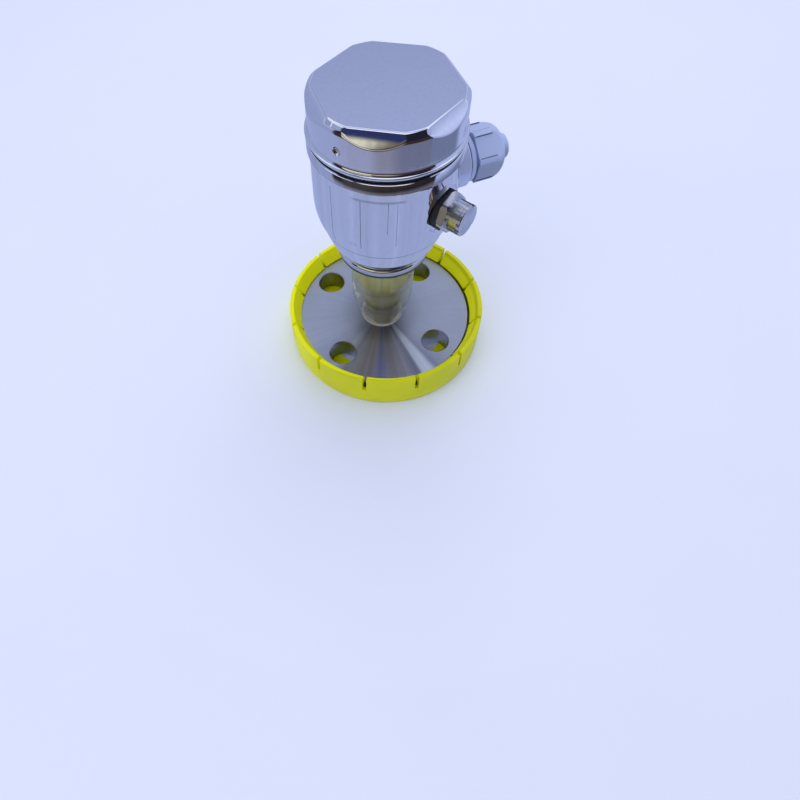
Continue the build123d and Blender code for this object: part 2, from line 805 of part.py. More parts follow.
# Screw cover with six sloped flats, bead, skirt and spanner dimple
flat_slope = degrees(atan2(cover_side_r - cover_flat_apothem, cover_flat_reach))
with BuildPart() as cover:
    with BuildSketch(Plane.XZ):
        with BuildLine():
            bead = Polyline(
                (skirt_bore_r, skirt_base),
                (skirt_r - hole_edge, skirt_base),
                (skirt_r, skirt_base + hole_edge),
                (skirt_r, cover_base),
                (cover_bead_r - hole_edge, cover_base),
                (cover_bead_r, cover_base + hole_edge),
                (cover_bead_r, cover_bead_top),
            )
            waist = TangentArc(bead @ 1, (cover_side_r, cover_side_base), tangent=(0, 1))
            wall_line = Line(waist @ 1, (cover_side_r, cover_top - cover_crown_r))
            crown = RadiusArc(
                wall_line @ 1, (cover_side_r - cover_crown_r, cover_top), -cover_crown_r
            )
            Polyline(
                crown @ 1,
                (0, cover_top),
                (0, cover_ceiling),
                (cover_ceiling_r, cover_ceiling),
                (skirt_bore_r, cover_inner_knee),
                bead @ 0,
            )
        make_face()
    revolve(axis=Axis.Z)
    with BuildSketch(Plane.XY.offset(cover_top)):
        RegularPolygon(cover_flat_apothem, 6, major_radius=False, rotation=cover_turn + 30)
    extrude(amount=skirt_base - cover_top, taper=-flat_slope, mode=Mode.INTERSECT)
    with BuildSketch(spoke(spanner_angle, spanner_height)):
        with BuildLine():
            Polyline(
                (cover_side_r - spanner_hole_deep, 0),
                (cover_side_r - spanner_hole_deep / 2, spanner_throat_r),
                (cover_side_r + spanner_hole_r, spanner_flare_r),
                (cover_side_r + spanner_hole_r, 0),
                close=True,
            )
        make_face()
    spanner_plane = spoke(spanner_angle, spanner_height)
    revolve(axis=Axis(spanner_plane.origin, spanner_plane.x_dir), mode=Mode.SUBTRACT)
save(cover.part, "cover")

# Ring seal between cover and housing lip
with BuildPart() as cover_ring:
    ring_seal(cover_ring_r, (cover_base - lip_top) / 2 - seat_gap, (cover_base + lip_top) / 2)
save(cover_ring.part, "cover_ring")

# Carrier of the electronic insert, on the housing shelf
carrier_top = shelf_top + carrier_h
platform_top = carrier_top + platform_h
board_top = shelf_top - board_drop
with BuildPart() as insert_carrier:
    with BuildSketch(Plane.XY.offset(shelf_top)):
        Circle(carrier_r)
    extrude(amount=carrier_h)
    with BuildSketch(Plane.XY.offset(carrier_top)):
        Circle(platform_r)
    extrude(amount=platform_h)
    with BuildSketch(Plane.XY.offset(board_top)):
        with PolarLocations(board_post_circle, 3, start_angle=board_post_turn):
            Circle(board_post_r)
    extrude(amount=board_drop)
    with BuildSketch(Plane.XY.offset(shelf_top)):
        with Locations((cable_notch_x + carrier_r / 2, 0)):
            Rectangle(carrier_r, cable_notch_wide)
    extrude(amount=carrier_h + platform_h, mode=Mode.SUBTRACT)
    with BuildSketch(Plane.XY.offset(shelf_top)):
        for angle in insert_screw_angles:
            with PolarLocations(insert_screw_circle, 1, start_angle=angle):
                Circle(insert_screw_r + loose_gap)
    extrude(amount=carrier_h, mode=Mode.SUBTRACT)
    with BuildSketch(Plane.XY.offset(platform_top)):
        with Locations((key_x, key_y), (key_x, -key_y)):
            Circle(key_r + running_gap)
    extrude(amount=-platform_h, mode=Mode.SUBTRACT)
    with BuildSketch(Plane.XY.offset(platform_top - key_flange_h)):
        with Locations((key_x, key_y), (key_x, -key_y)):
            Circle(key_flange_r + running_gap)
    extrude(amount=-(key_flange_h + key_travel + 2 * running_gap), mode=Mode.SUBTRACT)
save(insert_carrier.part, "insert_carrier")

# Circuit board hung below the carrier
with BuildPart() as circuit_board:
    with BuildSketch(Plane.XY.offset(board_top)):
        Circle(board_r)
        with Locations((cable_notch_x + carrier_r / 2, 0)):
            Rectangle(carrier_r, cable_notch_wide, mode=Mode.SUBTRACT)
    extrude(amount=-board_h)
save(circuit_board.part, "circuit_board")

# Screws that hold the insert on the shelf
with BuildPart() as insert_screw:
    for angle in insert_screw_angles:
        with BuildSketch(Plane.XY.offset(carrier_top)):
            with PolarLocations(insert_screw_circle - hole_edge, 1, start_angle=angle):
                Circle(insert_screw_r * 2 - head_edge)
        extrude(amount=screw_head_h)
        with BuildSketch(Plane.XY.offset(carrier_top)):
            with PolarLocations(insert_screw_circle, 1, start_angle=angle):
                Circle(insert_screw_r)
        extrude(amount=-(carrier_h + shelf_h))
        with BuildSketch(Plane.XY.offset(carrier_top + screw_head_h)):
            with PolarLocations(insert_screw_circle - hole_edge, 1, start_angle=angle):
                Rectangle(4 * insert_screw_r, small_slot_wide)
        extrude(amount=-small_slot_deep, mode=Mode.SUBTRACT)
save(insert_screw.part, "insert_screw")

# Terminal block with wire entries towards the gland
terminal_top = platform_top + terminal_h
with BuildPart() as terminal_block:
    with BuildSketch(Plane.XY.offset(platform_top)):
        with Locations((terminal_x, 0)):
            Rectangle(terminal_deep, terminal_wide)
    extrude(amount=terminal_h)
    chamfer(terminal_block.edges().group_by(Axis.Z)[-1], hole_edge)
    with BuildSketch(Plane.YZ.offset(terminal_x + terminal_deep / 2)):
        for row in terminal_rows:
            with Locations((row * terminal_pitch, platform_top + terminal_wire_height)):
                Circle(terminal_wire_r + clamp_wall + running_gap)
    extrude(amount=-(terminal_deep - wall), mode=Mode.SUBTRACT)
    with BuildSketch(Plane.XY.offset(terminal_top)):
        for row in terminal_rows:
            with Locations((terminal_x, row * terminal_pitch)):
                Circle(terminal_screw_r + running_gap)
    extrude(amount=-terminal_well_deep, mode=Mode.SUBTRACT)
save(terminal_block.part, "terminal_block")

# Metal clamps in the wire entries
clamp_height = platform_top + terminal_wire_height
clamp_long = terminal_deep - wall - loose_gap
with BuildPart() as terminal_clamp:
    with BuildSketch(Plane.YZ.offset(terminal_x - terminal_deep / 2 + wall)):
        for row in terminal_rows:
            with Locations((row * terminal_pitch, clamp_height)):
                Circle(terminal_wire_r + clamp_wall)
                Circle(terminal_wire_r, mode=Mode.SUBTRACT)
    extrude(amount=clamp_long)
    with BuildSketch(Plane.XY.offset(terminal_top)):
        for row in terminal_rows:
            with Locations((terminal_x, row * terminal_pitch)):
                Circle(terminal_screw_r + loose_gap)
    extrude(amount=-(terminal_h - terminal_wire_height), mode=Mode.SUBTRACT)
save(terminal_clamp.part, "terminal_clamp")

# Terminal screws in the wells of the block
screw_low = clamp_height + screw_tip_above
with BuildPart() as terminal_screw:
    for row in terminal_rows:
        with BuildSketch(Plane.XY.offset(screw_low)):
            with Locations((terminal_x, row * terminal_pitch)):
                Circle(terminal_screw_shank_r)
        extrude(amount=terminal_screw_long)
        with BuildSketch(Plane.XY.offset(screw_low + terminal_screw_long)):
            with Locations((terminal_x, row * terminal_pitch)):
                Circle(terminal_screw_r)
        extrude(amount=screw_head_h)
        with BuildSketch(Plane.XY.offset(screw_low + terminal_screw_long + screw_head_h)):
            with Locations((terminal_x, row * terminal_pitch)):
                Rectangle(3 * terminal_screw_r, screw_slot_wide)
        extrude(amount=-screw_slot_deep, mode=Mode.SUBTRACT)
save(terminal_screw.part, "terminal_screw")


def push_key(y):
    """Round push key with its retaining flange, at this y."""
    shoulder = Plane.XY.offset(platform_top - key_flange_h - running_gap)
    with BuildSketch(shoulder) as flange_disc:
        with Locations((key_x, y)):
            Circle(key_flange_r)
    extrude(flange_disc.sketch, amount=-key_flange_h)
    with BuildSketch(shoulder) as stem_disc:
        with Locations((key_x, y)):
            Circle(key_r)
    extrude(stem_disc.sketch, amount=key_flange_h + key_proud)


# Zero key and span key
with BuildPart() as zero_key:
    push_key(key_y)
    chamfer(zero_key.edges().group_by(Axis.Z)[-1], head_edge)
save(zero_key.part, "zero_key")

with BuildPart() as span_key:
    push_key(-key_y)
    chamfer(span_key.edges().group_by(Axis.Z)[-1], head_edge)
save(span_key.part, "span_key")

# Switch block with two slots
dip_top = platform_top + dip_h
slot_ys = (dip_pitch / 2, -dip_pitch / 2)
with BuildPart() as switch_block:
    with BuildSketch(Plane.XY.offset(platform_top)):
        with Locations((dip_x, 0)):
            Rectangle(dip_long, dip_wide)
    extrude(amount=dip_h)
    with BuildSketch(Plane.XY.offset(dip_top)):
        for y in slot_ys:
            with Locations((dip_x, y)):
                Rectangle(dip_slot_long, dip_slot_wide)
    extrude(amount=-dip_slot_deep, mode=Mode.SUBTRACT)
save(switch_block.part, "switch_block")


def slider(y):
    """Switch slider at the inner end of its slot."""
    start = dip_x - dip_slot_long / 2 + running_gap + slider_long / 2
    with BuildSketch(Plane.XY.offset(dip_top - dip_slot_deep + running_gap)) as block:
        with Locations((start, y)):
            Rectangle(slider_long, dip_slot_wide - 2 * running_gap)
    extrude(block.sketch, amount=dip_slot_deep - running_gap + slider_proud)


with BuildPart() as lock_slider:
    slider(slot_ys[0])
save(lock_slider.part, "lock_slider")

with BuildPart() as damping_slider:
    slider(slot_ys[1])
save(damping_slider.part, "damping_slider")

# Status lamp between the keys
with BuildPart() as status_lamp:
    with BuildSketch(Plane.XY.offset(platform_top)):
        with Locations((key_x, 0)):
            Circle(led_r)
    extrude(amount=led_proud)
    chamfer(status_lamp.edges().group_by(Axis.Z)[-1], head_edge)
save(status_lamp.part, "status_lamp")

# Inner ground terminal: clamp plate and screw
with BuildPart() as ground_clamp:
    with BuildSketch(Plane.XY.offset(platform_top)):
        with Locations((ground_x, ground_y)):
            Circle(ground_clamp_r)
            Circle(screw_head_r / 2 + running_gap, mode=Mode.SUBTRACT)
    extrude(amount=ground_clamp_h)
save(ground_clamp.part, "ground_clamp")

ground_head = platform_top + ground_clamp_h
with BuildPart() as ground_screw:
    with BuildSketch(Plane.XY.offset(platform_top)):
        with Locations((ground_x, ground_y)):
            Circle(screw_head_r / 2)
    extrude(amount=ground_clamp_h)
    with BuildSketch(Plane.XY.offset(ground_head)):
        with Locations((ground_x, ground_y)):
            Circle(screw_head_r)
    extrude(amount=screw_head_h)
    with BuildSketch(Plane.XY.offset(ground_head + screw_head_h)):
        with Locations((ground_x, ground_y)):
            Rectangle(3 * screw_head_r, screw_slot_wide)
    extrude(amount=-screw_slot_deep, mode=Mode.SUBTRACT)
save(ground_screw.part, "ground_screw")

# Clear sleeve, shrunk in at its foot, standing on the flange
outer_points = [(r, flange_top + z) for r, z in sleeve_outline]
inner_points = [(r - sleeve_wall, z) for r, z in outer_points]
with BuildPart() as clear_sleeve:
    with BuildSketch(Plane.XZ):
        with BuildLine():
            skin = Spline(*outer_points)
            up = Line(skin @ 1, (sleeve_top_r, sleeve_top))
            over = Line(up @ 1, (sleeve_top_r - sleeve_wall, sleeve_top))
            down = Line(over @ 1, inner_points[-1])
            lining = Spline(*inner_points[::-1])
            Line(lining @ 1, skin @ 0)
        make_face()
    revolve(axis=Axis.Z)
save(clear_sleeve.part, "clear_sleeve")

# Protective cap around the flange, with a retaining lip and snap slots
cap_x = cap_offset * cos(radians(cap_offset_angle))
cap_y = cap_offset * sin(radians(cap_offset_angle))
lip_under = flange_top + loose_gap
with BuildPart() as flange_cap:
    with BuildSketch(Plane.XZ.offset(-cap_y)):
        with BuildLine():
            Polyline(
                (cap_x + cap_floor_r, cap_base),
                (cap_x + cap_foot_r - cap_foot_edge, cap_base),
                (cap_x + cap_foot_r - cap_foot_step, cap_base + cap_foot_step),
                (cap_x + cap_foot_r, cap_base + cap_foot_edge),
                (cap_x + cap_r, raised_face_h + cap_foot_edge),
                (cap_x + cap_r, cap_rim - cap_edge),
                (cap_x + cap_r - cap_edge_step, cap_rim - cap_edge_step),
                (cap_x + cap_r - cap_edge, cap_rim),
                (cap_x + cap_rim_bore_r + cap_edge_step, cap_rim),
                (cap_x + cap_rim_bore_r, cap_rim - cap_edge_step),
                (cap_x + cap_lip_r, lip_under + cap_lip_h),
                (cap_x + cap_lip_r, lip_under),
                (cap_x + cap_bore_r, lip_under),
                (cap_x + cap_bore_r, raised_face_h),
                (cap_x + cap_floor_r, raised_face_h),
                close=True,
            )
        make_face()
    revolve(axis=Axis((cap_x, cap_y, 0), (0, 0, 1)))
    with BuildSketch(Plane((cap_x, cap_y, cap_rim))):
        with PolarLocations(cap_bore_r, cap_slot_count, start_angle=cap_slot_turn):
            Rectangle(2 * (cap_r - cap_lip_r), cap_slot_wide)
    extrude(amount=-(cap_rim - lip_under + cap_slot_below), mode=Mode.SUBTRACT)
save(flange_cap.part, "flange_cap")
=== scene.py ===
import json
import math

import bmesh
import bpy
import numpy as np
from mathutils import Matrix, Vector


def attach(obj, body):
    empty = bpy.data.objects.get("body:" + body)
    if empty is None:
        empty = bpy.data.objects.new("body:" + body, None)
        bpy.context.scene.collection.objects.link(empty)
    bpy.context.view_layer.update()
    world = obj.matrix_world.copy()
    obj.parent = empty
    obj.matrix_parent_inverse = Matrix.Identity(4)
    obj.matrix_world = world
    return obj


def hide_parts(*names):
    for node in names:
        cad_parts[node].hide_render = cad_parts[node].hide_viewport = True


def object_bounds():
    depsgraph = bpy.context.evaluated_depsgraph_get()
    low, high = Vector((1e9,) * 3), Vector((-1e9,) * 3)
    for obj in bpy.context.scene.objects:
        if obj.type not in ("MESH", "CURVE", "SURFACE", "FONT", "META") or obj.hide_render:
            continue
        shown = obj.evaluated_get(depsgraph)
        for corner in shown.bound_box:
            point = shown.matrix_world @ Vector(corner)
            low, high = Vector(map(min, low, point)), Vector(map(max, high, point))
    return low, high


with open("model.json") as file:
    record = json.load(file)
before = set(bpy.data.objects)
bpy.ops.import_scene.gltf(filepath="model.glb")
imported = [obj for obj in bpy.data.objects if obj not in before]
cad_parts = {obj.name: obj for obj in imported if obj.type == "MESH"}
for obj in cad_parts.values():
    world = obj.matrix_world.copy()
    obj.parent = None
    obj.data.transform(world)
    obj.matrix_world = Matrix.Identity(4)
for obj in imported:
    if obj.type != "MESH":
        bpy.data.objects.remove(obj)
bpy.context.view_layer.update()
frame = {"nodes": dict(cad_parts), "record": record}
nodes = frame["nodes"]
MM = 0.001

# Flange and cap, in millimetres
FLANGE_TOP = 14.2
FLANGE_R = 54.0
CAP_INSIDE_R = 57.6

# Clear sleeve: radius and height of its outline, its wall, and the rolled cut edge at its foot
SLEEVE = ((12.1, 14.2), (12.3, 16.2), (13.5, 20.2), (16.1, 26.2), (17.6, 32.2), (18.0, 40.2), (17.8, 69.9))
SLEEVE_R = 18.0
SLEEVE_WALL = 0.45
SLEEVE_EDGE = ((12.0, 14.2), (12.35, 14.25), (12.6, 14.5), (12.65, 14.9), (12.5, 15.3))
EDGE_TOP = 15.4
# Folds: depth, height, spread, number around, lean and start. Bubbles: angle, height and size
FOLDS = ((0.22, 27, 9, 5, 0.13, 0.0), (0.10, 47, 5, 3, 0.0, 1 + math.pi / 2))
FOLDS_FROM = 16
BUBBLES = ((-176.0, 46.5, 2.4), (-164.0, 42.5, 2.0))
BUBBLE_RISE = 0.8

# Neck: heights of the painted shade in its grooves and of the painted highlight bands between them
NECK_GROOVE_SHADES = ((42.6, 46.4, 0.9), (27.0, 31.2, 0.8))
NECK_HIGHLIGHT_BANDS = ((33.0, 39.5, 1.6), (20.5, 25.0, 1.2))

# Collar and housing: heights and radii in millimetres, angles around Z in degrees
# Heights of the painted shade line at the collar's lower edge
COLLAR_SHADE = (70.4, 72.6)
COLLAR_EDGE = (74.0, 77.1)
COLLAR_SIDE_R = 23.2
HOUSING_FOOT = 84.0
CREASE_Z = 94.6
BOWL_TOP = 106.0
LIP_FOOT = 137.4
LIP_TOP = 142.6
OUTER_R = 34.9
LOWER_R = 27.5
BOSS_X = 28.0
BOSS_R = 35.76
BOSS_Z = (101.5, 131.0)
PLATE_TURN = (-142, -97)
PLATE_Z = (95.5, 132)
# Olive band along the top of the plate: angles and heights
OLIVE_BAND_TURN = (-137, -98)
OLIVE_BAND_Z = (131.5, 132.7)
# Upright rules of the bare plate: angle, foot, head and half width
UPRIGHT_RULES = (
    (-130.9, 101.7, 131.7, 0.30),
    (-110.4, 113.7, 131.8, 0.22),
    (-103.6, 105.1, 130.8, 0.18),
    (-156.8, 98.0, 133.0, 0.30),
)
# Small empty frame on the plate
FIELD_TURN = (-139.7, -135.4)
FIELD_Z = (102.9, 104.7)

# Gland nut: port height, turn of its first corner, and the ends of its hexagon along X
PORT_HEIGHT = 116.2
NUT_TURN = 40.5
NUT_START = 44.3
NUT_SHOULDER = 54.1
SIXTH = 60.0

# Cover, outside
COVER_SIDE_R = 35.7
COVER_TOP = 164.8
COVER_APOTHEM = 30.9
COVER_REACH = 6.0
COVER_TURN = -1.9
COVER_CHAMFER = 2.5
FLAT_SLOPE = math.atan2(COVER_SIDE_R - COVER_APOTHEM, COVER_REACH)
FLAT_HALF = math.sqrt(14)
FLAT_BULGE = 0.010
CORNER_ROUND = 1.0
FLAT_ROUND = 0.25
TOP_ROUND = 0.5
SPANNER_ANGLE = -148.6
SPANNER_Z = 153.5
SPANNER_DEEP = 2.4
SPANNER_FROM = 30
SPANNER_SPAN = 5
# Cover, bead and skirt
SIDE_FOOT = 148.2
BEAD_OUT = 1.35
BEAD_DROP = 2.1
BEAD_R = 37.1
COVER_BASE = 144.5
THREAD_R = 33.95
THREAD_Z = (143.8, 136.3)
THREAD_PITCH = 2.0
THREAD_DEEP = 0.9
SKIRT_FOOT = 135.6
BORE_R = 31.4
CEILING = 162.2

# Direction of the photograph's camera around Z, seen from the object
FRONT = -113.0


class Tree:
    """Short names for building a shader node tree."""

    def __init__(self, tree):
        self.tree = tree
        self.tree.nodes.clear()

    def node(self, kind, **settings):
        made = self.tree.nodes.new(kind)
        for name, value in settings.items():
            setattr(made, name, value)
        return made

    def link(self, source, target):
        self.tree.links.new(source, target)

    def put(self, value, socket):
        """Link another socket, or set a plain value."""
        if isinstance(value, bpy.types.NodeSocket):
            self.link(value, socket)
        else:
            socket.default_value = value

    def math(self, operation, a, b=0.0):
        made = self.node("ShaderNodeMath", operation=operation)
        self.put(a, made.inputs[0])
        self.put(b, made.inputs[1])
        return made.outputs[0]

    def chain(self, operation, values):
        made = values[0]
        for value in values[1:]:
            made = self.math(operation, made, value)
        return made

    def times(self, *values):
        return self.chain("MULTIPLY", values)

    def total(self, *values):
        return self.chain("ADD", values)

    def largest(self, *values):
        return self.chain("MAXIMUM", values)

    def less(self, a, b):
        return self.math("SUBTRACT", a, b)

    def square(self, value):
        return self.math("POWER", value, 2.0)

    def angle(self, up, along):
        """Angle of the point (along, up) in degrees."""
        return self.math("DEGREES", self.math("ARCTAN2", up, along))

    def vector(self, operation, a, b=(0, 0, 0)):
        made = self.node("ShaderNodeVectorMath", operation=operation)
        self.put(a, made.inputs[0])
        self.put(b, made.inputs["Scale"] if operation == "SCALE" else made.inputs[1])
        return made.outputs["Value" if operation in ("LENGTH", "DOT_PRODUCT") else "Vector"]

    def split(self, vector):
        """The x, y and z of a vector."""
        made = self.node("ShaderNodeSeparateXYZ")
        self.link(vector, made.inputs[0])
        return made.outputs

    def mix(self, factor, a, b, blend="MIX"):
        """Mix of two colours, each a socket or three numbers."""
        made = self.node("ShaderNodeMix", data_type="RGBA", blend_type=blend)
        self.put(factor, made.inputs[0])
        for value, socket in zip((a, b), made.inputs[6:8]):
            self.put((*value, 1) if isinstance(value, tuple) else value, socket)
        return made.outputs[2]

    def paint(self, colour, mask, tone, share=1.0):
        """Colour with a tone over it where the mask is 1, as strong as the share."""
        return self.mix(self.times(mask, share), colour, tone)

    def dim(self, colour, factor):
        """Colour times a factor."""
        return self.mix(1.0, colour, self.vector("SCALE", (1.0, 1.0, 1.0), factor), "MULTIPLY")

    def ramp(self, value, low, high, stops):
        """Colour from stops that lie on the value's own scale, from low to high."""
        made = self.node("ShaderNodeValToRGB")
        while len(made.color_ramp.elements) < len(stops):
            made.color_ramp.elements.new(0.5)
        for element, (place, colour) in zip(made.color_ramp.elements, stops):
            element.position = (place - low) / (high - low)
            element.color = (*colour, 1)
        self.put(self.remap(value, low, high, 0, 1), made.inputs[0])
        return made.outputs[0]

    def step(self, value, start, end):
        """0 up to start, 1 from end on and smooth between. The end may be the smaller one."""
        made = self.node("ShaderNodeMapRange", interpolation_type="SMOOTHSTEP")
        self.put(value, made.inputs[0])
        made.inputs[1].default_value = start
        made.inputs[2].default_value = end
        return made.outputs[0]

    def between(self, value, low, high, soft):
        """1 from low to high, 0 outside."""
        return self.less(
            self.step(value, low - soft, low + soft),
            self.step(value, high - soft, high + soft),
        )

    def remap(self, value, low, high, to_low, to_high):
        made = self.node("ShaderNodeMapRange")
        self.put(value, made.inputs[0])
        for socket, number in zip(made.inputs[1:5], (low, high, to_low, to_high)):
            socket.default_value = number
        return made.outputs[0]

    def spread(self, noise, to_low, to_high):
        """Value from a noise, which lies mostly from 0.3 to 0.7."""
        return self.remap(noise, 0.3, 0.7, to_low, to_high)

    def place(self):
        """Object coordinates in millimetres."""
        made = self.node("ShaderNodeTexCoord")
        return self.vector("SCALE", made.outputs["Object"], 1 / MM)

    def turn(self, place):
        """Angle around Z in degrees, distance from Z, and height."""
        x, y, z = self.split(place)
        radius = self.vector("LENGTH", self.vector("MULTIPLY", place, (1, 1, 0)))
        return self.angle(y, x), radius, z

    def noise(self, place, scale, detail=3.0, rough=0.5, stretch=(1, 1, 1)):
        if stretch != (1, 1, 1):
            place = self.vector("MULTIPLY", place, stretch)
        made = self.node("ShaderNodeTexNoise")
        self.link(place, made.inputs["Vector"])
        made.inputs["Scale"].default_value = scale
        made.inputs["Detail"].default_value = detail
        made.inputs["Roughness"].default_value = rough
        return made.outputs["Fac"]

    def noise_along(self, value, scale, detail):
        """Noise that changes with one value only."""
        made = self.node("ShaderNodeTexNoise", noise_dimensions="1D")
        self.link(value, made.inputs["W"])
        made.inputs["Scale"].default_value = scale
        made.inputs["Detail"].default_value = detail
        return made.outputs["Fac"]

    def bump(self, height, distance, strength=1.0):
        """Bump from a height times a distance in millimetres."""
        made = self.node("ShaderNodeBump")
        made.inputs["Strength"].default_value = strength
        made.inputs["Distance"].default_value = distance * MM
        self.link(height, made.inputs["Height"])
        return made.outputs[0]

    def shader(self, **values):
        made = self.node("ShaderNodeBsdfPrincipled")
        for name, value in values.items():
            self.put(value, made.inputs[name.replace("_", " ")])
        out = self.node("ShaderNodeOutputMaterial")
        self.link(made.outputs[0], out.inputs[0])


def material(name):
    made = bpy.data.materials.new(name)
    made.use_nodes = True
    return made, Tree(made.node_tree)


def polish(t, place):
    """Colour, roughness and wave height of polished steel."""
    haze = t.noise(place, 0.06)
    smear = t.noise(place, 0.5, 4, 0.6, (1, 1, 0.35))
    colour = t.mix(t.step(smear, 0.45, 0.8), (0.84, 0.85, 0.88), (0.79, 0.80, 0.84))
    rough = t.total(t.remap(haze, 0.35, 0.7, 0.035, 0.07), t.remap(smear, 0.4, 0.75, 0.0, 0.03))
    wave = t.times(t.noise(place, 0.09, 2, 0.4), 0.035)
    return colour, rough, wave


def polished_steel():
    made, t = material("polished_steel")
    colour, rough, wave = polish(t, t.place())
    t.shader(Base_Color=colour, Metallic=1.0, Roughness=rough, Normal=t.bump(wave, 1.0))
    return made


def plate_rules(t, angle, z):
    """Mask of the thin engraved rules and the small empty frame of the bare plate."""
    uprights = UPRIGHT_RULES + tuple((turn, *FIELD_Z, 0.14) for turn in FIELD_TURN)
    rules = [
        t.times(t.between(angle, at - half, at + half, 0.12), t.between(z, low, high, 0.15))
        for at, low, high, half in uprights
    ]
    for level in FIELD_Z:
        thin = t.between(z, level - 0.1, level + 0.1, 0.08)
        rules.append(t.times(thin, t.between(angle, *FIELD_TURN, 0.2)))
    return t.largest(*rules)


def housing_steel():
    """Polished steel with the rolled lip, the turned foot, the crease and the rules of the bare plate,
    painted shade under the lip and a painted blue reflection on the gland boss.
    """
    made, t = material("housing_steel")
    place = t.place()
    colour, rough, wave = polish(t, place)
    angle, radius, z = t.turn(place)
    outside = t.step(radius, OUTER_R, OUTER_R + 0.2)
    lower = t.step(radius, LOWER_R, LOWER_R + 1.0)

    # Heights that lean the shine as on a rounded lip, a cone and a bowl
    up = t.remap(z, LIP_FOOT, LIP_TOP, 0, 1)
    lip = t.times(t.total(t.times(up, 0.78), t.times(t.square(up), 0.46)), -1.0)
    foot = t.remap(z, HOUSING_FOOT, CREASE_Z, 0.0, -2.6)
    up = t.remap(z, CREASE_Z, BOWL_TOP, 0, 1)
    bowl = t.times(t.less(up, t.times(t.square(up), 0.5)), -3.2)
    height = t.total(lip, foot, bowl, wave)

    # Masks of the marks
    olive_band = t.times(t.between(z, *OLIVE_BAND_Z, 0.5), t.between(angle, *OLIVE_BAND_TURN, 3.0), outside)
    crease = t.times(t.between(z, CREASE_Z - 0.2, CREASE_Z + 0.3, 0.15), lower)
    # Painted shade: dark band just under the rolled lip
    under_lip_shade = t.times(t.between(z, LIP_FOOT - 0.6, LIP_FOOT + 0.1, 0.15), outside)
    rules = t.times(plate_rules(t, angle, z), lower)
    plate = t.times(t.between(angle, *PLATE_TURN, 0.8), t.between(z, *PLATE_Z, 0.4), lower)
    cone = t.times(t.between(z, HOUSING_FOOT + 0.2, CREASE_Z - 0.2, 0.3), lower)
    ahead = t.step(t.split(place)[0], BOSS_X, BOSS_X + 1.0)
    # Gland boss: painted blue reflection of the room, with less metal and more roughness
    boss = t.times(ahead, t.step(radius, BOSS_R, BOSS_R + 0.14), t.between(z, *BOSS_Z, 0.3))

    colour = t.dim(colour, t.spread(t.noise_along(angle, 0.09, 4.0), 0.90, 1.06))
    # Olive band along the top of the plate
    colour = t.paint(colour, olive_band, (0.22, 0.26, 0.15), 0.5)
    colour = t.paint(colour, crease, (0.10, 0.11, 0.15), 0.75)
    # Painted shade under the lip
    colour = t.paint(colour, under_lip_shade, (0.05, 0.05, 0.06), 0.8)
    colour = t.paint(colour, rules, (0.10, 0.10, 0.17), 0.72)
    colour = t.paint(colour, boss, (0.52, 0.61, 0.92), 0.75)
    rough = t.total(rough, t.times(plate, 0.05), t.times(cone, 0.12), t.times(boss, 0.3))
    metal = t.less(1.0, t.times(boss, 0.65))
    t.shader(Base_Color=colour, Metallic=metal, Roughness=rough, Normal=t.bump(height, 1.0))
    return made


def collar_steel():
    """Satin ring with a polished round top edge and painted shade as a dark line at its lower edge."""
    made, t = material("collar_steel")
    place = t.place()
    _, radius, z = t.turn(place)
    ring = t.noise(place, 1.2, 3, 0.6, (0.05, 0.05, 4))
    up = t.remap(z, *COLLAR_EDGE, 0, 1)
    height = t.less(t.times(ring, 0.01), t.times(t.square(up), 1.15))
    top = t.step(z, COLLAR_EDGE[0] + 0.2, COLLAR_EDGE[0] + 1.0)
    colour = t.mix(top, (0.60, 0.60, 0.58), (0.82, 0.83, 0.86))
    # Painted shade: dark line at the lower edge, over the sleeve
    line = t.times(t.between(z, *COLLAR_SHADE, 0.25), t.step(radius, COLLAR_SIDE_R, COLLAR_SIDE_R + 0.4))
    colour = t.paint(colour, line, (0.03, 0.03, 0.04), 0.85)
    rough = t.total(t.spread(ring, 0.22, 0.34), t.times(top, -0.2))
    t.shader(Base_Color=colour, Metallic=1.0, Roughness=rough, Normal=t.bump(height, 1.0))
    return made


# Fan of light on the flange, painted into the steel's colour: angle around Z, and what it does to the
# steel's colour
FAN = (
    (-170, (1.00, 1.00, 1.00)),
    (-157, (0.90, 0.90, 0.92)),
    (-149, (0.90, 0.90, 0.90)),
    (-146, (1.15, 1.15, 1.15)),
    (-142, (0.80, 0.76, 0.72)),
    (-136, (0.82, 0.76, 0.70)),
    (-126, (0.98, 0.88, 0.76)),
    (-119, (1.15, 1.02, 0.92)),
    (-116, (1.10, 1.08, 1.55)),
    (-111, (1.20, 1.16, 1.65)),
    (-106, (1.40, 1.26, 1.20)),
    (-96, (1.35, 1.22, 1.15)),
    (-89, (0.95, 0.90, 0.95)),
    (-86, (0.62, 0.62, 0.66)),
    (-84.5, (1.90, 1.90, 1.80)),
    (-77, (2.00, 2.00, 1.85)),
    (-75, (0.72, 0.74, 0.80)),
    (-70, (0.92, 0.92, 0.96)),
    (-58, (1.00, 1.00, 1.00)),
)
FAN_TURN = (-146, -74)


